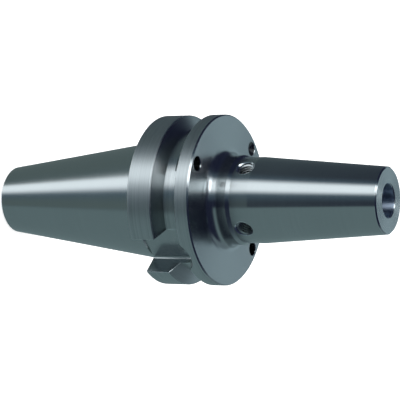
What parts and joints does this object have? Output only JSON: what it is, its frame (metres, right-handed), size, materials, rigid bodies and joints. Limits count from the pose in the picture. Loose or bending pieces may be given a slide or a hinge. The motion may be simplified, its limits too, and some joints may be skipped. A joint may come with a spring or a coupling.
{
  "type": "shrink fit holder",
  "caption": "Shrink fit tool holder: steep taper shank, grooved flange with drive slots, slim nose with a plain bore that grips a round shank, and a length stop screw.",
  "frame": {"origin": "centre of the gauge plane, where the steep taper is 44.45 mm across", "axes": "+Z along the spindle axis towards the nose; the drive slots lie on +Y and -Y"},
  "size_m": [0.063, 0.063, 0.1554],
  "materials": {
    "ground_steel": "hardened steel, turned and ground, satin",
    "blackened_steel": "black oxide"
  },
  "bodies": {
    "holder": {"holder_body": "ground_steel"},
    "stop_screw": {"stop_screw": "blackened_steel"}
  },
  "joints": [
    {"name": "stop_screw_travel", "type": "slide", "parent": "holder", "child": "stop_screw", "axis": [0, 0, 1], "range_m": [0, 0.01]}
  ]
}
